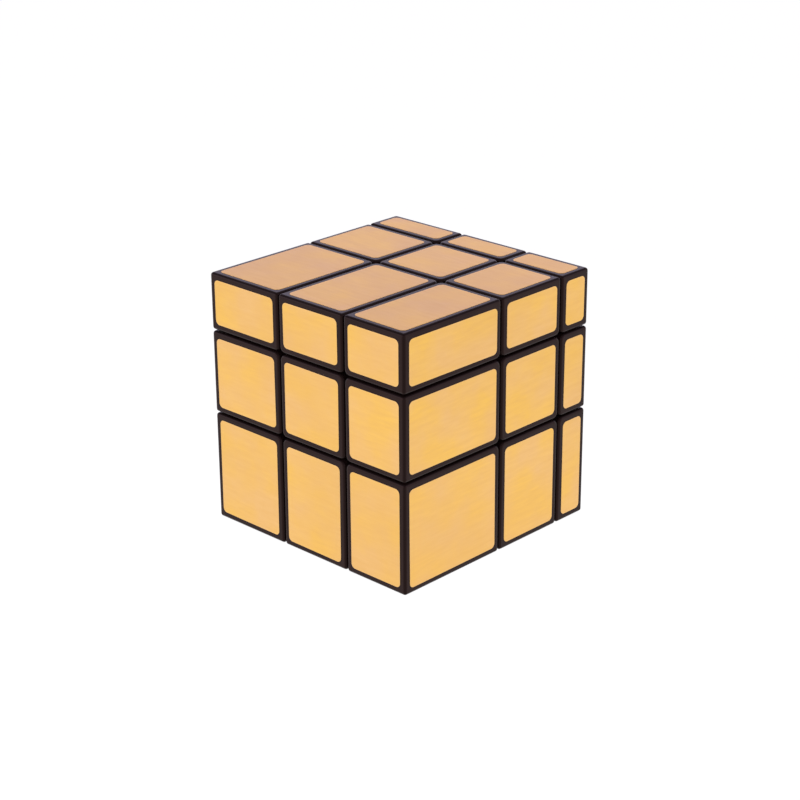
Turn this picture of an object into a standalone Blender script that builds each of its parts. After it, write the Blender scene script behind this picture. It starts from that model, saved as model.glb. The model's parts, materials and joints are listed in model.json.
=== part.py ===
"""Mirror block cube: a three-layer turning puzzle whose layers differ in thickness.

The 26 outer pieces (6 centre caps, 12 edges, 8 corners) all turn about one point, the centre
of the core, which lies off the middle of the cube.  They are parted by planes and by balls
about that point, so that each layer of nine can turn on its own:

    beyond NECK_HOLLOW_R   the planes lie CUT from the centre, as seen from outside
    inside NECK_OUTER_R    the planes lie NECK_CUT from it: the necks of the corners
    inside FOOT_OUTER_R    the planes lie FOOT_CUT from it: the feet that hook the pieces

Each face's centre is a cap on a hub, and the hub turns on a sprung screw in the core.
Metres, +Z up, -Y front; the cube stands on the middle of its underside.
"""
import itertools
import math

import bmesh
import bpy
from mathutils import Euler, Vector

# Thickness of the low, middle and high layer along each axis.
LAYERS = (
    (0.021, 0.019, 0.017),
    (0.029, 0.019, 0.009),
    (0.025, 0.019, 0.013),
)
MIDDLE = LAYERS[0][1]
GAP = 0.0003
HALF_GAP = GAP / 2

# Rounding of the pieces: upright edges where four pieces meet, and the outlines of outer faces.
CORNER_RADIUS = 0.0013
CORNER_SEGMENTS = 2
EDGE_RADIUS = 0.00065
EDGE_SEGMENTS = 2

# Planes and balls that part the pieces.
CUT = MIDDLE / 2
NECK_CUT = 0.008
FOOT_CUT = 0.0055
FOOT_INNER_R = 0.0125
FOOT_OUTER_R = 0.0165
NECK_OUTER_R = 0.0182
BALL_GAP = 0.0004
FOOT_HOLLOW_R = FOOT_OUTER_R + BALL_GAP
NECK_HOLLOW_R = NECK_OUTER_R + BALL_GAP
STALK_HALF = 0.005
BALL_SEGMENTS = 32

# The stack on each of the core's arms; heights are distances from the core's centre.
CORE_BALL_R = 0.0065
ARM_R = 0.0034
ARM_END = 0.0081
PILOT_START = 0.003
HUB_START = ARM_END + GAP
FLANGE_R = 0.0078
FLANGE_TOP = HUB_START + 0.0009
PLATE_TOP = HUB_START + 0.0014
HUB_HALF = FOOT_CUT - HALF_GAP
HUB_TOP = 0.0158
WELL_R = 0.0034
SPRING_START = PLATE_TOP + GAP
SPRING_END = 0.013
SPRING_R = 0.0023
SPRING_TURNS = 3
WIRE_R = 0.00025
WASHER_START = SPRING_END + GAP
WASHER_END = WASHER_START + 0.0003
WASHER_R = 0.0029
SCREW_START = PILOT_START + 0.0004
SHANK_R = 0.0014
HOLE_R = SHANK_R + GAP
HEAD_START = WASHER_END + GAP
HEAD_END = HEAD_START + 0.0012
HEAD_R = 0.0028
RECESS_DEPTH = 0.0006
RECESS_LENGTH = 0.0034
RECESS_WIDTH = 0.0007
SEAT = HUB_TOP + GAP
POCKET_HALF = FOOT_CUT + HALF_GAP
SPIGOT_R = 0.0031
SPIGOT_END = HEAD_END + GAP
ROUND_SEGMENTS = 16

# Faces of the cube: axis and side.
FACES = {
    "up": (2, 1),
    "down": (2, -1),
    "front": (1, -1),
    "back": (1, 1),
    "left": (0, -1),
    "right": (0, 1),
}
# Turns that bring a piece made along +Z to each face.
FACE_TURNS = {
    "up": (0, 0, 0),
    "down": (math.pi, 0, 0),
    "front": (math.pi / 2, 0, 0),
    "back": (-math.pi / 2, 0, 0),
    "left": (0, -math.pi / 2, 0),
    "right": (0, math.pi / 2, 0),
}
FAR = 0.06

BLACK_PLASTIC = ((0.018, 0.014, 0.018), 0.38, 0.0)
INNER_PLASTIC = ((0.022, 0.022, 0.024), 0.5, 0.0)
CORE_PLASTIC = ((0.62, 0.6, 0.55), 0.5, 0.0)
ZINC_STEEL = ((0.55, 0.56, 0.58), 0.32, 1.0)
SPRING_STEEL = ((0.42, 0.43, 0.45), 0.28, 1.0)


def clear_scene():
    for item in list(bpy.data.objects):
        bpy.data.objects.remove(item, do_unlink=True)


def finish_mesh(name, bm):
    """Turn a bmesh into a mesh whose faces point out."""
    bmesh.ops.recalc_face_normals(bm, faces=bm.faces)
    mesh = bpy.data.meshes.new(name)
    bm.to_mesh(mesh)
    bm.free()
    return mesh


def start_box(limits):
    """A box between (low, high) limits along X, Y and Z, still open to editing."""
    bm = bmesh.new()
    bmesh.ops.create_cube(bm, size=1.0)
    for vert in bm.verts:
        vert.co = Vector([low if part < 0 else high for part, (low, high) in zip(vert.co, limits)])
    bm.normal_update()
    return bm


def box(limits):
    return finish_mesh("box", start_box(limits))


def ball(radius, segments=BALL_SEGMENTS):
    """A ball about the centre, turned half a step so that no facet edge lies on a diagonal."""
    bm = bmesh.new()
    bmesh.ops.create_uvsphere(bm, u_segments=segments, v_segments=segments // 2, radius=radius)
    mesh = finish_mesh("ball", bm)
    return turned(mesh, (0, 0, math.pi / segments))


def lathe(profile, closed=False):
    """Turn a profile of (radius, height) points about Z; a closed profile makes a ring.

    The facets start a quarter step round, clear of the lines of the balls and other turnings.
    """
    bm = bmesh.new()
    rings = []
    for radius, height in profile:
        if radius == 0:
            rings.append([bm.verts.new((0, 0, height))])
            continue
        steps = [step + 0.25 for step in range(ROUND_SEGMENTS)]
        angles = [2 * math.pi * step / ROUND_SEGMENTS for step in steps]
        rings.append([
            bm.verts.new((radius * math.cos(angle), radius * math.sin(angle), height))
            for angle in angles
        ])
    pairs = list(zip(rings, rings[1:]))
    if closed:
        pairs.append((rings[-1], rings[0]))
    for lower, upper in pairs:
        for step in range(ROUND_SEGMENTS):
            after = (step + 1) % ROUND_SEGMENTS
            corners = [
                lower[step % len(lower)],
                lower[after % len(lower)],
                upper[after % len(upper)],
                upper[step % len(upper)],
            ]
            bm.faces.new(list(dict.fromkeys(corners)))
    return finish_mesh("lathe", bm)


def cylinder(radius, low, high):
    return lathe([(0, low), (radius, low), (radius, high), (0, high)])


def turned(mesh, angles):
    """The same mesh, turned about the centre."""
    mesh.transform(Euler(angles).to_matrix().to_4x4())
    return mesh


def combine(first, second, operation):
    """Join, cut or intersect two meshes with an exact Boolean."""
    target = bpy.data.objects.new("target", first)
    tool = bpy.data.objects.new("tool", second)
    for item in (target, tool):
        bpy.context.scene.collection.objects.link(item)
    modifier = target.modifiers.new("boolean", "BOOLEAN")
    modifier.object = tool
    modifier.operation = operation
    modifier.solver = "EXACT"
    evaluated = target.evaluated_get(bpy.context.evaluated_depsgraph_get())
    result = bpy.data.meshes.new_from_object(evaluated)
    for item in (target, tool):
        bpy.data.objects.remove(item, do_unlink=True)
    return result


def join(first, second):
    return combine(first, second, "UNION")


def cut(first, second):
    return combine(first, second, "DIFFERENCE")


def within(first, second):
    return combine(first, second, "INTERSECT")


def reach(axis, side):
    """Distance from the core's centre to the outside of the cube."""
    low, middle, high = LAYERS[axis]
    return middle / 2 + (high if side > 0 else low)


def zone(sides, plane, ends):
    """Limits of a piece where the parting planes lie the given distance from the centre."""
    limits = []
    for side, end in zip(sides, ends):
        if side == 0:
            limits.append((HALF_GAP - plane, plane - HALF_GAP))
        elif side > 0:
            limits.append((plane + HALF_GAP, end))
        else:
            limits.append((-end, -plane - HALF_GAP))
    return limits


def block(sides):
    """The part of a piece that shows: a box, rounded where four meet and round its outer faces."""
    ends = [reach(axis, side) for axis, side in enumerate(sides)]
    bm = start_box(zone(sides, CUT, ends))

    def is_outer(face):
        return any(face.normal[axis] * side > 0.9 for axis, side in enumerate(sides))

    def touches_outer(element):
        return any(is_outer(face) for face in element.link_faces)

    upright = [
        line for line in bm.edges
        if not touches_outer(line) and any(touches_outer(vert) for vert in line.verts)
    ]
    bmesh.ops.bevel(bm, geom=upright, offset=CORNER_RADIUS, segments=CORNER_SEGMENTS,
                    profile=0.5, affect="EDGES")
    bm.normal_update()
    outlines = [line for line in bm.edges if touches_outer(line)]
    bmesh.ops.bevel(bm, geom=outlines, offset=EDGE_RADIUS, segments=EDGE_SEGMENTS,
                    profile=0.5, affect="EDGES")
    return finish_mesh("block", bm)


def foot(sides):
    """The inner hook of an edge or corner, between two balls about the centre."""
    ends = [FOOT_OUTER_R] * 3
    shape = within(box(zone(sides, FOOT_CUT, ends)), ball(FOOT_OUTER_R))
    return cut(shape, ball(FOOT_INNER_R))


def corner(sides):
    ends = [NECK_OUTER_R] * 3
    neck = within(box(zone(sides, NECK_CUT, ends)), ball(NECK_OUTER_R))
    return join(join(block(sides), neck), foot(sides))


def edge(sides):
    """An edge: hollowed on both sides of its stalk for the necks of the corners to pass."""
    stalk = [(-STALK_HALF, STALK_HALF) if side == 0 else (-FAR, FAR) for side in sides]
    hollow = cut(ball(NECK_HOLLOW_R), box(stalk))
    return join(cut(block(sides), hollow), foot(sides))


def square_hollow(radius, half):
    """A ball with a square post along Z left out of it."""
    return cut(ball(radius), box([(-half, half), (-half, half), (-FAR, FAR)]))


def cap(face):
    """A centre cap: stepped underside that holds the feet in, a seat and a spigot for the hub."""
    axis, side = FACES[face]
    sides = [side if index == axis else 0 for index in range(3)]
    seat_cut = box([(-POCKET_HALF, POCKET_HALF), (-POCKET_HALF, POCKET_HALF), (0, SEAT)])
    tools = [
        seat_cut,
        square_hollow(NECK_HOLLOW_R, NECK_CUT - HALF_GAP),
        square_hollow(FOOT_HOLLOW_R, HUB_HALF),
    ]
    shape = block(sides)
    for tool in tools:
        shape = cut(shape, turned(tool, FACE_TURNS[face]))
    spigot = cylinder(SPIGOT_R, SPIGOT_END, SEAT + 0.001)
    return join(shape, turned(spigot, FACE_TURNS[face]))


def hub():
    """A centre's body: flange, square post and the well for screw and spring."""
    flange = cylinder(FLANGE_R, HUB_START, FLANGE_TOP)
    middle = (HUB_START + FLANGE_TOP) / 2
    post = box([(-HUB_HALF, HUB_HALF), (-HUB_HALF, HUB_HALF), (middle, HUB_TOP)])
    shape = join(flange, post)
    shape = cut(shape, cylinder(WELL_R, PLATE_TOP, FAR))
    return cut(shape, cylinder(HOLE_R, 0, FAR))


def screw():
    point = 0.001
    chamfer = 0.0004
    shape = lathe([
        (0, SCREW_START),
        (SHANK_R, SCREW_START + point),
        (SHANK_R, HEAD_START),
        (HEAD_R, HEAD_START),
        (HEAD_R, HEAD_END - chamfer),
        (HEAD_R - chamfer, HEAD_END),
        (0, HEAD_END),
    ])
    across = (-RECESS_LENGTH / 2, RECESS_LENGTH / 2)
    width = (-RECESS_WIDTH / 2, RECESS_WIDTH / 2)
    depth = (HEAD_END - RECESS_DEPTH, FAR)
    shape = cut(shape, box([across, width, depth]))
    return cut(shape, box([width, across, depth]))


def washer():
    inner = HOLE_R
    return lathe([
        (inner, WASHER_START),
        (WASHER_R, WASHER_START),
        (WASHER_R, WASHER_END),
        (inner, WASHER_END),
    ], closed=True)


def spring():
    """A compression spring: a five-sided wire along a helix."""
    sides = 5
    steps_a_turn = 9
    steps = round(SPRING_TURNS * steps_a_turn)
    low = SPRING_START + WIRE_R
    rise = SPRING_END - WIRE_R - low
    bm = bmesh.new()
    rings = []
    for step in range(steps + 1):
        turn = 2 * math.pi * step / steps_a_turn
        outward = Vector((math.cos(turn), math.sin(turn), 0))
        middle = outward * SPRING_R + Vector((0, 0, low + rise * step / steps))
        ring = []
        for side in range(sides):
            angle = 2 * math.pi * side / sides
            offset = outward * math.cos(angle) + Vector((0, 0, math.sin(angle)))
            ring.append(bm.verts.new(middle + offset * WIRE_R))
        rings.append(ring)
    for lower, upper in zip(rings, rings[1:]):
        for side in range(sides):
            after = (side + 1) % sides
            bm.faces.new((lower[side], lower[after], upper[after], upper[side]))
    bm.faces.new(rings[0])
    bm.faces.new(rings[-1])
    return finish_mesh("spring", bm)


def core():
    """The spider in the middle: a ball with six arms, each drilled for its screw."""
    shape = ball(CORE_BALL_R, ROUND_SEGMENTS)
    for face in ("up", "front", "right"):
        shape = join(shape, turned(cylinder(ARM_R, -ARM_END, ARM_END), FACE_TURNS[face]))
    for face in FACES:
        shape = cut(shape, turned(cylinder(HOLE_R, PILOT_START, FAR), FACE_TURNS[face]))
    return shape


def plain_material(name, look):
    colour, roughness, metallic = look
    material = bpy.data.materials.new(name)
    material.use_nodes = True
    shader = material.node_tree.nodes["Principled BSDF"]
    shader.inputs["Base Color"].default_value = (*colour, 1.0)
    shader.inputs["Roughness"].default_value = roughness
    shader.inputs["Metallic"].default_value = metallic
    material.diffuse_color = (*colour, 1.0)
    return material


def add_node(name, mesh, look, centre, turn=(0, 0, 0)):
    """Put one named sub-part in the scene, its origin on the core's centre."""
    mesh.name = name
    node = bpy.data.objects.new(name, mesh)
    bpy.context.scene.collection.objects.link(node)
    node.parent = centre
    node.rotation_euler = turn
    mesh.materials.clear()
    mesh.materials.append(plain_material(name, look))
    mesh.shade_smooth()
    mesh.set_sharp_from_angle(angle=math.radians(30))
    return node


def add_centre():
    """The empty on which every joint axis meets."""
    centre = bpy.data.objects.new("core_centre", None)
    bpy.context.scene.collection.objects.link(centre)
    side_length = sum(LAYERS[0])
    offsets = [reach(axis, -1) - sum(LAYERS[axis]) / 2 for axis in range(2)]
    centre.location = (offsets[0], offsets[1], reach(2, -1))
    centre.empty_display_size = side_length / 2
    return centre


def piece_sides(faces):
    sides = [0, 0, 0]
    for face in faces:
        axis, side = FACES[face]
        sides[axis] = side
    return sides


def main():
    clear_scene()
    centre = add_centre()
    add_node("core", core(), CORE_PLASTIC, centre)
    for face, turn in FACE_TURNS.items():
        add_node("hub_" + face, hub(), INNER_PLASTIC, centre, turn)
        add_node("screw_" + face, screw(), ZINC_STEEL, centre, turn)
        add_node("washer_" + face, washer(), ZINC_STEEL, centre, turn)
        add_node("spring_" + face, spring(), SPRING_STEEL, centre, turn)
        add_node("cap_" + face, cap(face), BLACK_PLASTIC, centre)
    for count, kind, make in ((2, "edge", edge), (3, "corner", corner)):
        for faces in itertools.combinations(FACES, count):
            axes = {FACES[face][0] for face in faces}
            if len(axes) == count:
                name = "_".join((kind, *faces))
                add_node(name, make(piece_sides(faces)), BLACK_PLASTIC, centre)


main()
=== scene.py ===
"""Looks of the mirror block cube: finely rounded black blocks under brushed gold foil."""

import itertools
import json
import math
import random

import bmesh
import bpy
from mathutils import Euler, Matrix, Vector


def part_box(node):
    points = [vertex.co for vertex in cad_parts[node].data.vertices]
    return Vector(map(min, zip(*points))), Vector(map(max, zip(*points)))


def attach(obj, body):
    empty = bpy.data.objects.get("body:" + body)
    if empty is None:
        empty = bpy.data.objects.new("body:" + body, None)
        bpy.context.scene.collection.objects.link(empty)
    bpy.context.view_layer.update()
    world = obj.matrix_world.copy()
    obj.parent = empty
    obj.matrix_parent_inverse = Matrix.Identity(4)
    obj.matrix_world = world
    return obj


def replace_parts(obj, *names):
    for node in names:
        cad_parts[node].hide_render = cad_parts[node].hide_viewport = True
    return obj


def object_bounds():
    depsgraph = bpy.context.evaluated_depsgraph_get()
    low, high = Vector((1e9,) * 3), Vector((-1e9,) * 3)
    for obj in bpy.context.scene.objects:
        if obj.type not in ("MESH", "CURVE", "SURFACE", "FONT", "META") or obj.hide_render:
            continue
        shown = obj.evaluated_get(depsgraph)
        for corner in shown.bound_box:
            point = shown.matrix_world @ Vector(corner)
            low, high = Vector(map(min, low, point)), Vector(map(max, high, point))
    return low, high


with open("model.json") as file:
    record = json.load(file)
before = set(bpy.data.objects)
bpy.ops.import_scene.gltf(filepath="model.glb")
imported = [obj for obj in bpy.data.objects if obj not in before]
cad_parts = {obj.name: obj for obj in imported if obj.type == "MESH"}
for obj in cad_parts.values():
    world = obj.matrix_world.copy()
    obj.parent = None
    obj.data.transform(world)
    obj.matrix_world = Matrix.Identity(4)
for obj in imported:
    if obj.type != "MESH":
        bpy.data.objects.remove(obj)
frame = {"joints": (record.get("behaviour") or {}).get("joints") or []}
CAD_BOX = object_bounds()
LOW, HIGH = CAD_BOX
MIDDLE = (LOW + HIGH) / 2
CENTRE = Vector(frame["joints"][0]["pos_m"])

MM = 0.001

# Clearance between neighbours.
GAP = 0.3 * MM
HALF_GAP = GAP / 2

# Planes and balls that part the pieces, measured from the core's centre as in the CAD solids.
CAP_LOW, CAP_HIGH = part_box("cap_up")
CUT = (CAP_HIGH.x - CAP_LOW.x) / 2 + HALF_GAP
NECK_CUT = 8.0 * MM
FOOT_CUT = 5.5 * MM
FOOT_INNER_R = 12.5 * MM
FOOT_OUTER_R = 16.5 * MM
NECK_OUTER_R = 18.2 * MM
BALL_GAP = 0.4 * MM
STALK_HALF = 5.0 * MM
SEAT = 16.1 * MM
SPIGOT_R = 3.1 * MM
SPIGOT_END = 15.4 * MM
FAR = 60 * MM

# How finely round things are cut; a turned part's first corner lies a share of a step past X.
BALL_SEGMENTS = 48
TURNED_SEGMENTS = 40
FIRST_STEP = 0.25
ARC_STEPS = 6

# A face looks along an axis if its normal's part along that axis is more than this.
ALIGNED = 0.9

# The stack on each of the core's arms; heights are distances from the core's centre.
CORE_BALL_R = 6.5 * MM
ARM_R = 3.4 * MM
ARM_END = 8.1 * MM
ARM_FILLET = 0.8 * MM
PILOT_START = 3.0 * MM
HUB_START = ARM_END + GAP
FLANGE_R = 7.8 * MM
FLANGE_TOP = HUB_START + 0.9 * MM
PLATE_TOP = HUB_START + 1.4 * MM
HUB_HALF = FOOT_CUT - HALF_GAP
HUB_TOP = 15.8 * MM
POST_RADIUS = 0.6 * MM
WELL_R = 3.4 * MM
HOLE_R = 1.7 * MM
SPRING_START = PLATE_TOP + GAP
SPRING_END = 13.0 * MM
SPRING_R = 2.3 * MM
SPRING_TURNS = 3
SPRING_END_TURNS = 0.75
WIRE_R = 0.25 * MM
WIRE_SIDES = 10
CLOSE_PITCH = 2.1 * WIRE_R
COIL_STEPS = 32
WASHER_START = SPRING_END + GAP
WASHER_END = WASHER_START + 0.3 * MM
WASHER_R = 2.9 * MM
SCREW_START = PILOT_START + 0.4 * MM
SHANK_R = 1.4 * MM
TIP_HEIGHT = 0.1 * MM
TIP_SHARE = 0.35
TIP_TAPER = 1.0 * MM
THREAD_PITCH = 0.7 * MM
THREAD_DEPTH = 0.25 * MM
THREAD_END = 9.4 * MM
THREAD_STEPS = 6
HEAD_START = WASHER_END + GAP
HEAD_END = HEAD_START + 1.2 * MM
HEAD_R = 2.8 * MM
HEAD_CROWN = 0.5 * MM
RECESS_DEPTH = 0.6 * MM
RECESS_LENGTH = 3.4 * MM
RECESS_WIDTH = 0.7 * MM
FINE_CHAMFER = 0.06 * MM
CHAMFER = 0.2 * MM

# Block edges and stickers. A sticker's thickness is what stands above the plastic, its brushing is
# shifted by up to BRUSHING_SHIFT millimetres, and a paler line of painted highlight runs round its
# edge.
CORNER_RADIUS = 1.3 * MM
CORNER_SEGMENTS = 6
EDGE_RADIUS = 0.65 * MM
EDGE_SEGMENTS = 4
RIM = 1.42 * MM
STICKER_THICKNESS = 0.06 * MM
STICKER_SINK = 0.04 * MM
STICKER_RADIUS = 1.05 * MM
STICKER_ARC = 8
STICKER_BEVEL = 0.025 * MM
STICKER_HIGHLIGHT_BAND = 0.2 * MM
STICKER_ROLL = 3
STICKER_SHIFT = 0.06 * MM
STICKER_TURN = math.radians(0.35)
BRUSHING_SHIFT = 500
RANDOM_SEED = 57

# Edges that bend more than these angles stay sharp.
BLOCK_SHARP = math.radians(28)
STICKER_SHARP = math.radians(40)
INNER_SHARP = math.radians(35)

FACES = {
    "up": (2, 1),
    "down": (2, -1),
    "front": (1, -1),
    "back": (1, 1),
    "left": (0, -1),
    "right": (0, 1),
}
FACE_TURNS = {
    "up": (0, 0, 0),
    "down": (math.pi, 0, 0),
    "front": (math.pi / 2, 0, 0),
    "back": (-math.pi / 2, 0, 0),
    "left": (0, -math.pi / 2, 0),
    "right": (0, math.pi / 2, 0),
}


# ---------------------------------------------------------------- mesh tools

def finish_mesh(bm):
    """Turn a bmesh into a mesh whose normals all point outward."""
    bmesh.ops.recalc_face_normals(bm, faces=bm.faces)
    mesh = bpy.data.meshes.new("shape")
    bm.to_mesh(mesh)
    bm.free()
    return mesh


def start_box(limits):
    """A box as a bmesh; its limits are (low, high) along each axis."""
    bm = bmesh.new()
    bmesh.ops.create_cube(bm, size=1.0)
    for vert in bm.verts:
        vert.co = Vector([low if part < 0 else high for part, (low, high) in zip(vert.co, limits)])
    bm.normal_update()
    return bm


def box(limits):
    return finish_mesh(start_box(limits))


def ball(radius):
    """A ball, turned half a step so that no facet edge lies on a diagonal."""
    bm = bmesh.new()
    bmesh.ops.create_uvsphere(bm, u_segments=BALL_SEGMENTS, v_segments=BALL_SEGMENTS // 2,
                              radius=radius)
    return turned(finish_mesh(bm), (0, 0, math.pi / BALL_SEGMENTS))


def cylinder(radius, low, high):
    return lathe([(0, low), (radius, low), (radius, high), (0, high)])


def lathe(profile, closed=False, groove=None):
    """Turn a profile of (radius, height) points about Z; a closed profile makes a ring.

    A groove is a function of height and angle that says how deep the surface is cut there.
    """
    bm = bmesh.new()
    rings = []
    for radius, height in profile:
        if radius == 0:
            rings.append([bm.verts.new((0, 0, height))])
            continue
        ring = []
        for step in range(TURNED_SEGMENTS):
            angle = 2 * math.pi * (step + FIRST_STEP) / TURNED_SEGMENTS
            size = radius - groove(height, angle) if groove else radius
            ring.append(bm.verts.new((size * math.cos(angle), size * math.sin(angle), height)))
        rings.append(ring)
    pairs = list(zip(rings, rings[1:]))
    if closed:
        pairs.append((rings[-1], rings[0]))
    for lower, upper in pairs:
        for step in range(TURNED_SEGMENTS):
            after = (step + 1) % TURNED_SEGMENTS
            corners = [
                lower[step % len(lower)],
                lower[after % len(lower)],
                upper[after % len(upper)],
                upper[step % len(upper)],
            ]
            bm.faces.new(list(dict.fromkeys(corners)))
    return finish_mesh(bm)


def turned(mesh, angles):
    """Turn a mesh about the origin, in place."""
    mesh.transform(Euler(angles).to_matrix().to_4x4())
    return mesh


def combine(first, second, operation):
    """Join, cut or intersect two meshes."""
    target = bpy.data.objects.new("target", first)
    tool = bpy.data.objects.new("tool", second)
    for item in (target, tool):
        bpy.context.scene.collection.objects.link(item)
    modifier = target.modifiers.new("boolean", "BOOLEAN")
    modifier.object = tool
    modifier.operation = operation
    modifier.solver = "EXACT"
    evaluated = target.evaluated_get(bpy.context.evaluated_depsgraph_get())
    result = bpy.data.meshes.new_from_object(evaluated)
    for item in (target, tool):
        bpy.data.objects.remove(item, do_unlink=True)
    return result


# ---------------------------------------------------------------- blocks

def reach(axis, side):
    """Distance from the core's centre to the outside of the cube."""
    return HIGH[axis] - CENTRE[axis] if side > 0 else CENTRE[axis] - LOW[axis]


def zone(sides, plane, ends):
    """Limits of a piece where the parting planes lie the given distance from the centre."""
    limits = []
    for side, end in zip(sides, ends):
        if side == 0:
            limits.append((HALF_GAP - plane, plane - HALF_GAP))
        elif side > 0:
            limits.append((plane + HALF_GAP, end))
        else:
            limits.append((-end, -plane - HALF_GAP))
    return limits


def block_limits(sides):
    return zone(sides, CUT, [reach(axis, side) for axis, side in enumerate(sides)])


def block(sides):
    """A block's box: wide rounding where four blocks meet, fine rounding round its outer faces."""
    bm = start_box(block_limits(sides))

    def is_outer(face):
        return any(face.normal[axis] * side > ALIGNED for axis, side in enumerate(sides))

    def touches_outer(element):
        return any(is_outer(face) for face in element.link_faces)

    upright = [
        line for line in bm.edges
        if not touches_outer(line) and any(touches_outer(vert) for vert in line.verts)
    ]
    bmesh.ops.bevel(bm, geom=upright, offset=CORNER_RADIUS, segments=CORNER_SEGMENTS,
                    profile=0.5, affect="EDGES")
    bm.normal_update()
    outlines = [line for line in bm.edges if touches_outer(line)]
    bmesh.ops.bevel(bm, geom=outlines, offset=EDGE_RADIUS, segments=EDGE_SEGMENTS,
                    profile=0.5, affect="EDGES")
    return finish_mesh(bm)


def foot(sides):
    """The inner end of an edge or a corner: a piece of a spherical shell."""
    shape = combine(box(zone(sides, FOOT_CUT, [FOOT_OUTER_R] * 3)), ball(FOOT_OUTER_R), "INTERSECT")
    return combine(shape, ball(FOOT_INNER_R), "DIFFERENCE")


def corner(sides):
    """A corner piece: block, neck and foot in one."""
    neck = box(zone(sides, NECK_CUT, [NECK_OUTER_R] * 3))
    neck = combine(neck, ball(NECK_OUTER_R), "INTERSECT")
    return combine(combine(block(sides), neck, "UNION"), foot(sides), "UNION")


def edge(sides):
    """An edge piece: a block hollowed beside its stalk, with its foot."""
    stalk = [(-STALK_HALF, STALK_HALF) if side == 0 else (-FAR, FAR) for side in sides]
    hollow = combine(ball(NECK_OUTER_R + BALL_GAP), box(stalk), "DIFFERENCE")
    return combine(combine(block(sides), hollow, "DIFFERENCE"), foot(sides), "UNION")


def square_hollow(radius, half):
    """A ball without its square middle: the room that passing feet or necks need."""
    return combine(ball(radius), box([(-half, half), (-half, half), (-FAR, FAR)]), "DIFFERENCE")


def cap(sides):
    """A centre's cap: hollowed for its hub and for what passes behind it, with a spigot."""
    face = faces_of(sides)[0]
    pocket = FOOT_CUT + HALF_GAP
    tools = [
        box([(-pocket, pocket), (-pocket, pocket), (0, SEAT)]),
        square_hollow(NECK_OUTER_R + BALL_GAP, NECK_CUT - HALF_GAP),
        square_hollow(FOOT_OUTER_R + BALL_GAP, FOOT_CUT - HALF_GAP),
    ]
    shape = block(sides)
    for tool in tools:
        shape = combine(shape, turned(tool, FACE_TURNS[face]), "DIFFERENCE")
    spigot = cylinder(SPIGOT_R, SPIGOT_END, SEAT + MM)
    return combine(shape, turned(spigot, FACE_TURNS[face]), "UNION")


def faces_of(sides):
    """Names of the cube's faces that a piece shows on, in the order of FACES."""
    return [name for name, (axis, side) in FACES.items() if sides[axis] == side]


def mark_crest_shade(mesh, sides):
    """Store how near each point is to an outer edge's crest, which gets painted shade: 0 on the flats,
    1 on the crest.
    """
    crest_shade_and_polish = mesh.attributes.new("crest_shade_and_polish", "FLOAT", "POINT")
    crest = EDGE_RADIUS * (1 - math.sqrt(0.5))
    for vert in mesh.vertices:
        level = 0.0
        for axis, side in enumerate(sides):
            if side:
                depth = reach(axis, side) - vert.co[axis] * side
                level = max(level, min(depth / crest, (EDGE_RADIUS - depth) / (EDGE_RADIUS - crest)))
        crest_shade_and_polish.data[vert.index].value = level


def add_piece(name, mesh, material, body):
    """Make a mesh into a piece that rides on a body."""
    mesh.name = name
    mesh.materials.clear()
    mesh.materials.append(material)
    piece = bpy.data.objects.new(name, mesh)
    bpy.context.scene.collection.objects.link(piece)
    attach(piece, body)
    return piece


def add_block(sides, material):
    """One of the 26 outer pieces, in place of its CAD node; returns its faces and its body."""
    faces = faces_of(sides)
    kind, make = {1: ("cap", cap), 2: ("edge", edge), 3: ("corner", corner)}[len(faces)]
    node = "_".join([kind, *faces])
    body = "centre_" + faces[0] if kind == "cap" else node
    mesh = make(sides)
    mark_crest_shade(mesh, sides)
    mesh.transform(Matrix.Translation(CENTRE))
    mesh.shade_smooth()
    mesh.set_sharp_from_angle(angle=BLOCK_SHARP)
    piece = add_piece("block_" + node, mesh, material, body)
    weighted = piece.modifiers.new("flat_faces", "WEIGHTED_NORMAL")
    weighted.keep_sharp = True
    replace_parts(piece, node)
    return faces, body


# ---------------------------------------------------------------- stickers

def rounded_outline(width, height, radius):
    """Points round a rectangle with rounded corners, about its middle."""
    points = []
    signs = ((1, 1), (-1, 1), (-1, -1), (1, -1))
    for quarter, (sign_u, sign_v) in enumerate(signs):
        middle = Vector((sign_u * (width / 2 - radius), sign_v * (height / 2 - radius)))
        for step in range(STICKER_ARC + 1):
            angle = math.pi / 2 * (quarter + step / STICKER_ARC)
            points.append(middle + Vector((math.cos(angle), math.sin(angle))) * radius)
    return points


def sticker_mesh(width, height, random_source):
    """Foil lying on z = 0, its upper edge rolled; UVs in millimetres run along the brushing."""
    rise = STICKER_THICKNESS - STICKER_BEVEL
    levels = [(0, -STICKER_SINK), (0, rise)]
    for step in range(1, STICKER_ROLL + 1):
        angle = math.pi / 2 * step / STICKER_ROLL
        levels.append((STICKER_BEVEL * (1 - math.cos(angle)), rise + STICKER_BEVEL * math.sin(angle)))
    levels.append((STICKER_BEVEL + STICKER_HIGHLIGHT_BAND, STICKER_THICKNESS))
    bm = bmesh.new()
    # Mask of the painted highlight: 1 on the rolled edge, fading to 0 a band further in.
    edge_highlight = bm.verts.layers.float.new("edge_highlight")
    rings = []
    for inset, height_at in levels:
        outline = rounded_outline(width - 2 * inset, height - 2 * inset, STICKER_RADIUS - inset)
        rings.append([bm.verts.new((point.x, point.y, height_at)) for point in outline])
        for vert in rings[-1]:
            vert[edge_highlight] = 1.0 if inset <= STICKER_BEVEL else 0.0
    for lower, upper in zip(rings, rings[1:]):
        for index, vert in enumerate(lower):
            after = (index + 1) % len(lower)
            bm.faces.new((vert, lower[after], upper[after], upper[index]))
    bm.faces.new(rings[-1])
    bm.faces.new(reversed(rings[0]))
    uv = bm.loops.layers.uv.new("brushing")
    shift = Vector([random_source.uniform(0, BRUSHING_SHIFT) for _ in range(2)])
    for corner_loop in (loop for face in bm.faces for loop in face.loops):
        corner_loop[uv].uv = Vector(corner_loop.vert.co.xy) / MM + shift
    return finish_mesh(bm)


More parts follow.
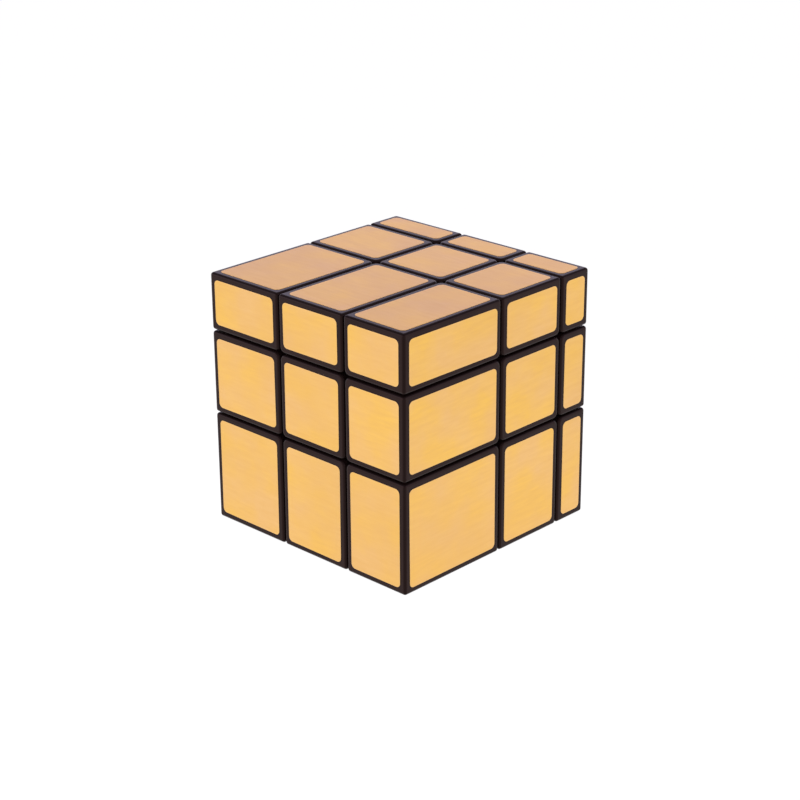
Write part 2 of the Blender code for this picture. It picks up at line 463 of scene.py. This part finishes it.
def sticker_axes(face):
    """Directions along the brushing, across it, and out of the face."""
    axis, side = FACES[face]
    out = Vector((0, 0, 0))
    out[axis] = side
    along = Vector((0, 1, 0)) if axis == 0 else Vector((1, 0, 0))
    return along, out.cross(along), out


def add_sticker(sides, face, body, material, random_source):
    """The foil on one face of a block, a little out of true."""
    limits = block_limits(sides)
    along, across, out = sticker_axes(face)
    middle = Vector([(low + high) / 2 for low, high in limits])
    size = Vector([high - low for low, high in limits])
    axis, side = FACES[face]
    middle[axis] = side * reach(axis, side)
    width = abs(size.dot(along)) - 2 * RIM
    height = abs(size.dot(across)) - 2 * RIM
    mesh = sticker_mesh(width, height, random_source)
    shift = Vector([random_source.uniform(-STICKER_SHIFT, STICKER_SHIFT) for _ in range(2)])
    turn = Matrix.Rotation(random_source.uniform(-STICKER_TURN, STICKER_TURN), 4, "Z")
    basis = Matrix((along, across, out)).transposed().to_4x4()
    place = CENTRE + middle + along * shift.x + across * shift.y
    mesh.transform(Matrix.Translation(place) @ basis @ turn)
    mesh.shade_smooth()
    mesh.set_sharp_from_angle(angle=STICKER_SHARP)
    name = "_".join(["foil", face, "on", *faces_of(sides)])
    add_piece(name, mesh, material, body)


# ---------------------------------------------------------------- inner parts

def hub():
    """A centre's body: chamfered flange, square post and the well for screw and spring."""
    flange = lathe([
        (0, HUB_START),
        (FLANGE_R - CHAMFER, HUB_START),
        (FLANGE_R, HUB_START + CHAMFER),
        (FLANGE_R, FLANGE_TOP - CHAMFER),
        (FLANGE_R - CHAMFER, FLANGE_TOP),
        (0, FLANGE_TOP),
    ])
    middle = (HUB_START + FLANGE_TOP) / 2
    bm = start_box([(-HUB_HALF, HUB_HALF), (-HUB_HALF, HUB_HALF), (middle, HUB_TOP)])
    upright = [line for line in bm.edges if abs(line.verts[0].co.z - line.verts[1].co.z) > MM]
    bmesh.ops.bevel(bm, geom=upright, offset=POST_RADIUS, segments=EDGE_SEGMENTS, profile=0.5,
                    affect="EDGES")
    shape = combine(flange, finish_mesh(bm), "UNION")
    shape = combine(shape, cylinder(WELL_R, PLATE_TOP, FAR), "DIFFERENCE")
    return combine(shape, cylinder(HOLE_R, 0, FAR), "DIFFERENCE")


def thread_groove(height, angle):
    """Depth of the screw's thread at a height and an angle, fading out at both ends."""
    fade = min(1.0, (height - SCREW_START) / MM, (THREAD_END - height) / THREAD_PITCH)
    if fade <= 0:
        return 0.0
    phase = (height / THREAD_PITCH - angle / (2 * math.pi)) % 1
    return THREAD_DEPTH * fade * abs(2 * phase - 1)


def screw():
    """A pan-head screw with a cut thread and a cross recess."""
    step_height = THREAD_PITCH / THREAD_STEPS
    thread_start = SCREW_START + TIP_HEIGHT
    profile = [(0, SCREW_START), (SHANK_R * TIP_SHARE, thread_start)]
    steps = round((THREAD_END - SCREW_START) / step_height)
    for step in range(1, steps + 1):
        height = thread_start + step * step_height
        tip = min(1.0, TIP_SHARE + (height - SCREW_START) / TIP_TAPER)
        profile.append((SHANK_R * tip, height))
    profile += [(SHANK_R, HEAD_START), (HEAD_R - FINE_CHAMFER, HEAD_START)]
    rim = HEAD_END - HEAD_CROWN
    profile += [(HEAD_R, HEAD_START + FINE_CHAMFER), (HEAD_R, rim)]
    for step in range(1, ARC_STEPS):
        angle = math.pi / 2 * step / ARC_STEPS
        profile.append((HEAD_R - HEAD_CROWN * (1 - math.cos(angle)),
                        rim + HEAD_CROWN * math.sin(angle)))
    profile += [(HEAD_R - HEAD_CROWN, HEAD_END), (0, HEAD_END)]
    shape = lathe(profile, groove=thread_groove)
    across = (-RECESS_LENGTH / 2, RECESS_LENGTH / 2)
    width = (-RECESS_WIDTH / 2, RECESS_WIDTH / 2)
    depth = (HEAD_END - RECESS_DEPTH, FAR)
    shape = combine(shape, box([across, width, depth]), "DIFFERENCE")
    return combine(shape, box([width, across, depth]), "DIFFERENCE")


def washer():
    """A flat ring, chamfered on all four rims."""
    return lathe([
        (HOLE_R + FINE_CHAMFER, WASHER_START),
        (WASHER_R - FINE_CHAMFER, WASHER_START),
        (WASHER_R, WASHER_START + FINE_CHAMFER),
        (WASHER_R, WASHER_END - FINE_CHAMFER),
        (WASHER_R - FINE_CHAMFER, WASHER_END),
        (HOLE_R + FINE_CHAMFER, WASHER_END),
        (HOLE_R, WASHER_END - FINE_CHAMFER),
        (HOLE_R, WASHER_START + FINE_CHAMFER),
    ], closed=True)


def spring_height(turns):
    """Height of the wire's middle after so many turns; the end turns lie close."""
    low = SPRING_START + WIRE_R
    high = SPRING_END - WIRE_R
    end_rise = SPRING_END_TURNS * CLOSE_PITCH
    if turns < SPRING_END_TURNS:
        return low + turns * CLOSE_PITCH
    if turns > SPRING_TURNS - SPRING_END_TURNS:
        return high - (SPRING_TURNS - turns) * CLOSE_PITCH
    share = (turns - SPRING_END_TURNS) / (SPRING_TURNS - 2 * SPRING_END_TURNS)
    return low + end_rise + share * (high - low - 2 * end_rise)


def spring():
    """A compression spring: round wire along a helix with closed ends."""
    bm = bmesh.new()
    rings = []
    for step in range(SPRING_TURNS * COIL_STEPS + 1):
        turns = step / COIL_STEPS
        outward = Vector((math.cos(2 * math.pi * turns), math.sin(2 * math.pi * turns), 0))
        middle = outward * SPRING_R + Vector((0, 0, spring_height(turns)))
        ring = []
        for side in range(WIRE_SIDES):
            angle = 2 * math.pi * side / WIRE_SIDES
            offset = outward * math.cos(angle) + Vector((0, 0, math.sin(angle)))
            ring.append(bm.verts.new(middle + offset * WIRE_R))
        rings.append(ring)
    for lower, upper in zip(rings, rings[1:]):
        for side in range(WIRE_SIDES):
            after = (side + 1) % WIRE_SIDES
            bm.faces.new((lower[side], lower[after], upper[after], upper[side]))
    bm.faces.new(rings[0])
    bm.faces.new(rings[-1])
    return finish_mesh(bm)


def core():
    """The spider in the middle: a ball with six filleted arms, each drilled for its screw."""
    root_r = ARM_R + ARM_FILLET
    root_height = math.sqrt(CORE_BALL_R ** 2 - root_r ** 2)
    profile = [(0, 0), (root_r, 0)]
    for step in range(ARC_STEPS + 1):
        angle = math.pi / 2 * step / ARC_STEPS
        profile.append((root_r - ARM_FILLET * math.sin(angle),
                        root_height + ARM_FILLET * (1 - math.cos(angle))))
    profile += [(ARM_R, ARM_END - CHAMFER), (ARM_R - CHAMFER, ARM_END), (0, ARM_END)]
    shape = ball(CORE_BALL_R)
    for face in FACES:
        shape = combine(shape, turned(lathe(profile), FACE_TURNS[face]), "UNION")
    for face in FACES:
        pilot = cylinder(HOLE_R, PILOT_START, FAR)
        shape = combine(shape, turned(pilot, FACE_TURNS[face]), "DIFFERENCE")
    return shape


def add_inner_piece(node, mesh, material, body):
    """A finely made inner piece in place of its CAD node."""
    mesh.transform(Matrix.Translation(CENTRE))
    mesh.shade_smooth()
    mesh.set_sharp_from_angle(angle=INNER_SHARP)
    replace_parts(add_piece("fine_" + node, mesh, material, body), node)


def add_inner_parts():
    """The core, and the stack of parts on each of its six arms."""
    spider = inner_plastic("core_plastic", *IVORY)
    plastic = inner_plastic("hub_plastic", *SOOT)
    zinc = plated_metal("zinc_steel", *ZINC, ZINC_ROUGHNESS)
    wire = plated_metal("spring_steel", *WIRE_GREY, WIRE_ROUGHNESS)
    add_inner_piece("core", core(), spider, "core")
    stack = (
        ("hub", hub(), plastic, "hub_plastic"),
        ("screw", screw(), zinc, "zinc_steel"),
        ("washer", washer(), zinc, "zinc_steel"),
        ("spring", spring(), wire, "spring_steel"),
    )
    for face, turn in FACE_TURNS.items():
        for kind, mesh, material, slot in stack:
            body = "centre_" + face if kind == "hub" else "core"
            add_inner_piece(kind + "_" + face, turned(mesh.copy(), turn), material, body)


# ---------------------------------------------------------------- materials

# Colours are linear. A pair of them holds the two ends that a noise mixes.
GOLD_YELLOW = (0.940, 0.565, 0.120)
GOLD_ROSE = (0.890, 0.545, 0.215)
GOLD_CLOUD = (0.79, 0.46, 0.155)
GOLD_STREAK = (0.80, 0.45, 0.135)
GOLD_LINE = (0.56, 0.33, 0.10)
# A paler gold painted round each sticker's rolled edge as a highlight.
GOLD_EDGE_HIGHLIGHT = (0.95, 0.68, 0.36)
BLACK = ((0.012, 0.0055, 0.005), (0.018, 0.009, 0.008))
# Painted shade: the darker black laid on the crests of the outer edges.
BLACK_CREST_SHADE = (0.003, 0.0015, 0.0015)
BLACK_TINT = (1.0, 0.62, 0.55, 1.0)
BLACK_SPECULAR = 0.14
IVORY = ((0.56, 0.54, 0.49), (0.66, 0.64, 0.59))
SOOT = ((0.016, 0.016, 0.018), (0.03, 0.03, 0.033))
ZINC = ((0.48, 0.49, 0.52), (0.62, 0.63, 0.65))
ZINC_ROUGHNESS = 0.32
WIRE_GREY = ((0.36, 0.37, 0.39), (0.48, 0.49, 0.51))
WIRE_ROUGHNESS = 0.28
METAL_ROUGHNESS_SPREAD = 0.08
FOIL_ANISOTROPY = 0.45
LINE_STRETCH = (0.15, 6.0, 1.0)
STREAK_STRETCH = (0.16, 1.1, 1.0)


def new_material(name):
    material = bpy.data.materials.new(name)
    material.use_nodes = True
    tree = material.node_tree
    return material, tree, tree.nodes["Principled BSDF"]


def add_noise(tree, vector, scale, detail=3.0, roughness=0.5):
    """A noise over the given coordinates; its scale is in cycles per unit of them."""
    noise = tree.nodes.new("ShaderNodeTexNoise")
    noise.inputs["Scale"].default_value = scale
    noise.inputs["Detail"].default_value = detail
    noise.inputs["Roughness"].default_value = roughness
    tree.links.new(vector, noise.inputs["Vector"])
    return noise.outputs["Fac"]


def add_stretch(tree, vector, scale):
    mapping = tree.nodes.new("ShaderNodeMapping")
    mapping.inputs["Scale"].default_value = scale
    tree.links.new(vector, mapping.inputs["Vector"])
    return mapping.outputs["Vector"]


def add_range(tree, value, low, high, from_low=0.3, from_high=0.7):
    """Rescale a value; the default source range is where most of a noise lies."""
    rescale = tree.nodes.new("ShaderNodeMapRange")
    rescale.inputs["From Min"].default_value = from_low
    rescale.inputs["From Max"].default_value = from_high
    rescale.inputs["To Min"].default_value = low
    rescale.inputs["To Max"].default_value = high
    tree.links.new(value, rescale.inputs["Value"])
    return rescale.outputs["Result"]


def add_sum(tree, first, second):
    add = tree.nodes.new("ShaderNodeMath")
    add.operation = "ADD"
    tree.links.new(first, add.inputs[0])
    tree.links.new(second, add.inputs[1])
    return add.outputs["Value"]


def add_colour_mix(tree, factor, low, high):
    """Mix two colours, each given as numbers or as another node's output."""
    mix = tree.nodes.new("ShaderNodeMix")
    mix.data_type = "RGBA"
    tree.links.new(factor, mix.inputs["Factor"])
    for socket, colour in (("A", low), ("B", high)):
        colour_socket = next(s for s in mix.inputs if s.name == socket and s.type == "RGBA")
        if isinstance(colour, tuple):
            colour_socket.default_value = (*colour, 1.0)
        else:
            tree.links.new(colour, colour_socket)
    return next(s for s in mix.outputs if s.type == "RGBA")


def add_bump(tree, height, strength, distance):
    """A normal from a height; the distance is the relief of a full step of it."""
    bump = tree.nodes.new("ShaderNodeBump")
    bump.inputs["Strength"].default_value = strength
    bump.inputs["Distance"].default_value = distance
    tree.links.new(height, bump.inputs["Height"])
    return bump.outputs["Normal"]


def object_coordinates(tree):
    return tree.nodes.new("ShaderNodeTexCoord").outputs["Object"]


def gold_foil():
    """Brushed gold: fine lines along U, soft streaks and blotches, all in millimetres, and a painted
    highlight round the edge.
    """
    material, tree, shader = new_material("gold_foil")
    uv = tree.nodes.new("ShaderNodeUVMap")
    uv.uv_map = "brushing"
    lines = add_noise(tree, add_stretch(tree, uv.outputs["UV"], LINE_STRETCH), 1.0, roughness=0.6)
    streaks = add_noise(tree, add_stretch(tree, uv.outputs["UV"], STREAK_STRETCH), 1.0, 4.0, 0.6)
    blotches = add_noise(tree, uv.outputs["UV"], 0.09)
    clouds = add_noise(tree, object_coordinates(tree), 45.0, detail=2.0)
    patches = add_range(tree, blotches, 0.0, 1.0, from_low=0.36, from_high=0.64)
    tone = add_colour_mix(tree, patches, GOLD_YELLOW, GOLD_ROSE)
    tone = add_colour_mix(tree, add_range(tree, clouds, 0.0, 0.45), tone, GOLD_CLOUD)
    tone = add_colour_mix(tree, add_range(tree, streaks, 0.0, 0.45), tone, GOLD_STREAK)
    tone = add_colour_mix(tree, add_range(tree, lines, 0.0, 0.07), tone, GOLD_LINE)
    # Painted highlight: the rolled edge and a thin band inside it go paler.
    edge_highlight_attribute = tree.nodes.new("ShaderNodeAttribute")
    edge_highlight_attribute.attribute_name = "edge_highlight"
    edge_highlight = add_range(tree, edge_highlight_attribute.outputs["Fac"], 0.0, 0.25, from_high=1.0)
    tone = add_colour_mix(tree, edge_highlight, tone, GOLD_EDGE_HIGHLIGHT)
    tree.links.new(tone, shader.inputs["Base Color"])
    rough = add_sum(tree, add_range(tree, blotches, 0.32, 0.36), add_range(tree, streaks, -0.01, 0.01))
    tree.links.new(rough, shader.inputs["Roughness"])
    shader.inputs["Metallic"].default_value = 1.0
    shader.inputs["Anisotropic"].default_value = FOIL_ANISOTROPY
    tangent = tree.nodes.new("ShaderNodeTangent")
    tangent.direction_type = "UV_MAP"
    tangent.uv_map = "brushing"
    tree.links.new(tangent.outputs["Tangent"], shader.inputs["Tangent"])
    tree.links.new(add_bump(tree, lines, strength=0.04, distance=0.01 * MM), shader.inputs["Normal"])
    return material


def black_plastic():
    """Moulded black plastic with a faint grain; painted shade darkens the outer edges' crests, which
    are also smoother.
    """
    material, tree, shader = new_material("black_plastic")
    place = object_coordinates(tree)
    grain = add_noise(tree, place, 2200.0)
    smears = add_noise(tree, place, 90.0, 4.0, 0.6)
    crest_shade_and_polish = tree.nodes.new("ShaderNodeAttribute")
    crest_shade_and_polish.attribute_name = "crest_shade_and_polish"
    patchy = add_range(tree, smears, 0.7, 1.0)
    patchy_crest_shade_and_polish = tree.nodes.new("ShaderNodeMath")
    patchy_crest_shade_and_polish.operation = "MULTIPLY"
    tree.links.new(crest_shade_and_polish.outputs["Fac"], patchy_crest_shade_and_polish.inputs[0])
    tree.links.new(patchy, patchy_crest_shade_and_polish.inputs[1])
    base = add_colour_mix(tree, add_range(tree, smears, 0.0, 1.0), *BLACK)
    # Painted shade: the crests of the outer edges turn darker, in patches.
    base = add_colour_mix(tree, patchy_crest_shade_and_polish.outputs["Value"], base, BLACK_CREST_SHADE)
    tree.links.new(base, shader.inputs["Base Color"])
    rough = add_sum(tree, add_range(tree, smears, 0.18, 0.26),
                    add_range(tree, patchy_crest_shade_and_polish.outputs["Value"], 0.0, -0.05, from_low=0.0, from_high=1.0))
    tree.links.new(rough, shader.inputs["Roughness"])
    shader.inputs["Specular IOR Level"].default_value = BLACK_SPECULAR
    shader.inputs["Specular Tint"].default_value = BLACK_TINT
    tree.links.new(add_bump(tree, grain, strength=0.12, distance=0.02 * MM), shader.inputs["Normal"])
    return material


def inner_plastic(name, dark, light):
    material, tree, shader = new_material(name)
    place = object_coordinates(tree)
    smears = add_noise(tree, place, 160.0, 4.0, 0.6)
    grain = add_noise(tree, place, 2600.0, detail=2.0)
    tree.links.new(add_colour_mix(tree, add_range(tree, smears, 0.0, 1.0), dark, light),
                   shader.inputs["Base Color"])
    tree.links.new(add_range(tree, smears, 0.38, 0.55), shader.inputs["Roughness"])
    tree.links.new(add_bump(tree, grain, strength=0.2, distance=0.02 * MM), shader.inputs["Normal"])
    return material


def plated_metal(name, dark, light, roughness):
    material, tree, shader = new_material(name)
    place = object_coordinates(tree)
    mottle = add_noise(tree, place, 900.0, 4.0, 0.6)
    tree.links.new(add_colour_mix(tree, add_range(tree, mottle, 0.0, 1.0), dark, light),
                   shader.inputs["Base Color"])
    low = roughness - METAL_ROUGHNESS_SPREAD
    high = roughness + METAL_ROUGHNESS_SPREAD
    tree.links.new(add_range(tree, mottle, low, high), shader.inputs["Roughness"])
    shader.inputs["Metallic"].default_value = 1.0
    tree.links.new(add_bump(tree, mottle, strength=0.15, distance=0.01 * MM), shader.inputs["Normal"])
    return material


# ---------------------------------------------------------------- setting

CAMERA_AZIMUTH = math.radians(44.02)
CAMERA_ELEVATION = math.radians(21.95)
CAMERA_ROLL = math.radians(-0.38)
CAMERA_DISTANCE = 438 * MM
CAMERA_LENS = 90.55
CAMERA_ASIDE = -0.1 * MM
CAMERA_DOWN = 1.26 * MM
FLOOR_SIZE = 6.0
FLOOR_DROP = 0.2 * MM
FLOOR_COLOUR = (0.15, 0.15, 0.15, 1.0)
FLOOR_GLOW_COLOUR = (1.0, 1.0, 1.0, 1.0)
FLOOR_ROUGHNESS = 0.9
# The floor glows a little more within POOL_INNER of a place, fading out at POOL_OUTER from it.
FLOOR_GLOW = 0.9
POOL_GLOW = 0.98
POOL_PLACE = (-10 * MM, -70 * MM, 0.0)
POOL_INNER = 90 * MM
POOL_OUTER = 200 * MM
SOFTBOX_WIDTH = 1.0
SOFTBOX_HEIGHT = 0.4
SOFTBOX_DISTANCE = 0.7
# Name, direction from the cube, power in watts and colour.
SOFTBOXES = (
    ("left_softbox", Vector((-0.52, -0.81, 0.27)), 1.2, (1.0, 0.93, 1.0)),
    ("right_softbox", Vector((0.83, 0.49, 0.27)), 0.6, (1.0, 0.87, 0.80)),
)
# Sine of the height above the horizon, and the tent's colour there.
TENT_STOPS = (
    (0.0, (1.0, 0.97, 1.02, 1.0)),
    (0.34, (1.07, 0.99, 1.33, 1.0)),
    (0.62, (0.42, 0.39, 0.48, 1.0)),
    (1.0, (0.70, 0.68, 0.74, 1.0)),
)
CLIP_START = 0.01


def add_camera():
    """The camera, aimed a little to the side of and below the cube's middle."""
    back = Vector((
        math.sin(CAMERA_AZIMUTH) * math.cos(CAMERA_ELEVATION),
        -math.cos(CAMERA_AZIMUTH) * math.cos(CAMERA_ELEVATION),
        math.sin(CAMERA_ELEVATION),
    ))
    level = Vector((math.cos(CAMERA_AZIMUTH), math.sin(CAMERA_AZIMUTH), 0))
    rise = back.cross(level)
    right = level * math.cos(CAMERA_ROLL) + rise * math.sin(CAMERA_ROLL)
    up = back.cross(right)
    data = bpy.data.cameras.new("camera")
    data.lens = CAMERA_LENS
    data.clip_start = CLIP_START
    camera = bpy.data.objects.new("camera", data)
    bpy.context.scene.collection.objects.link(camera)
    basis = Matrix((right, up, back)).transposed().to_4x4()
    place = MIDDLE + back * CAMERA_DISTANCE + right * CAMERA_ASIDE - up * CAMERA_DOWN
    camera.matrix_world = Matrix.Translation(place) @ basis
    bpy.context.scene.camera = camera


def add_floor():
    """A large pale floor that glows, a little more where the light pools before the cube."""
    bm = bmesh.new()
    bmesh.ops.create_grid(bm, x_segments=1, y_segments=1, size=FLOOR_SIZE / 2)
    bmesh.ops.translate(bm, verts=bm.verts, vec=(0, 0, LOW.z - FLOOR_DROP))
    floor = bpy.data.objects.new("floor", finish_mesh(bm))
    bpy.context.scene.collection.objects.link(floor)
    material, tree, shader = new_material("pale_floor")
    shader.inputs["Base Color"].default_value = FLOOR_COLOUR
    shader.inputs["Roughness"].default_value = FLOOR_ROUGHNESS
    shader.inputs["Specular IOR Level"].default_value = 0.0
    shader.inputs["Emission Color"].default_value = FLOOR_GLOW_COLOUR
    distance = tree.nodes.new("ShaderNodeVectorMath")
    distance.operation = "DISTANCE"
    distance.inputs[1].default_value = POOL_PLACE
    tree.links.new(object_coordinates(tree), distance.inputs[0])
    glow = add_range(tree, distance.outputs["Value"], POOL_GLOW, FLOOR_GLOW, POOL_INNER, POOL_OUTER)
    tree.links.new(glow, shader.inputs["Emission Strength"])
    floor.data.materials.append(material)


def add_softbox(name, direction, power, colour):
    """A wide softbox that faces the cube from the given direction."""
    data = bpy.data.lights.new(name, "AREA")
    data.shape = "RECTANGLE"
    data.size = SOFTBOX_WIDTH
    data.size_y = SOFTBOX_HEIGHT
    data.energy = power
    data.color = colour
    light = bpy.data.objects.new(name, data)
    bpy.context.scene.collection.objects.link(light)
    light.location = MIDDLE + direction * SOFTBOX_DISTANCE
    light.rotation_euler = direction.to_track_quat("Z", "Y").to_euler()


def add_world():
    """A pale tent, a little lilac above the horizon, with a dim ceiling."""
    world = bpy.data.worlds.new("tent")
    world.use_nodes = True
    tree = world.node_tree
    background = tree.nodes["Background"]
    place = tree.nodes.new("ShaderNodeTexCoord").outputs["Generated"]
    split = tree.nodes.new("ShaderNodeSeparateXYZ")
    tree.links.new(place, split.inputs["Vector"])
    ramp = tree.nodes.new("ShaderNodeValToRGB")
    tree.links.new(split.outputs["Z"], ramp.inputs["Fac"])
    stops = ramp.color_ramp.elements
    for position, colour in TENT_STOPS[1:-1]:
        stops.new(position).color = colour
    stops[0].color = TENT_STOPS[0][1]
    stops[-1].color = TENT_STOPS[-1][1]
    tree.links.new(ramp.outputs["Color"], background.inputs["Color"])
    bpy.context.scene.world = world


def main():
    random_source = random.Random(RANDOM_SEED)
    plastic = black_plastic()
    foil = gold_foil()
    for sides in itertools.product((-1, 0, 1), repeat=3):
        if any(sides):
            faces, body = add_block(sides, plastic)
            for face in faces:
                add_sticker(sides, face, body, foil, random_source)
    add_inner_parts()
    add_floor()
    add_world()
    for name, direction, power, colour in SOFTBOXES:
        add_softbox(name, direction, power, colour)
    add_camera()
    bpy.context.scene.view_settings.view_transform = "Standard"


main()
